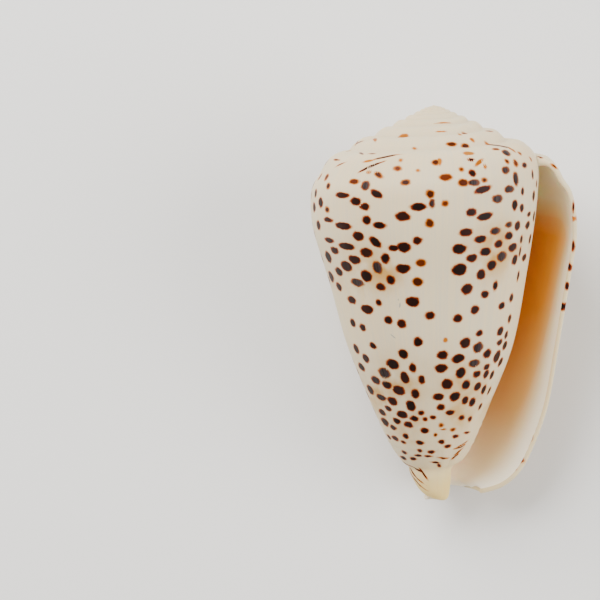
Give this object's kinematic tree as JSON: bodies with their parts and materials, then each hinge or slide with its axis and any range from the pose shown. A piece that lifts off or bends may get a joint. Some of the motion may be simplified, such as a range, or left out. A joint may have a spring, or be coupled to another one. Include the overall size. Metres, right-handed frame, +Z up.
{
  "type": "cone shell",
  "caption": "Spotted cone-shaped sea snail shell with a low knobbed spire and a long narrow aperture, lying on its back with the opening up.",
  "frame": {"origin": "middle of the underside of the bounding box, where the shell rests on its back", "axes": "+Y along the length towards the apex, +X towards the outer lip, +Z up out of the aperture"},
  "size_m": [0.033, 0.0482, 0.0309],
  "materials": {
    "shell": "polished shell, cream with dark spots, orange inside the aperture"
  },
  "bodies": {
    "root": {"shell": "shell"}
  },
  "joints": []
}
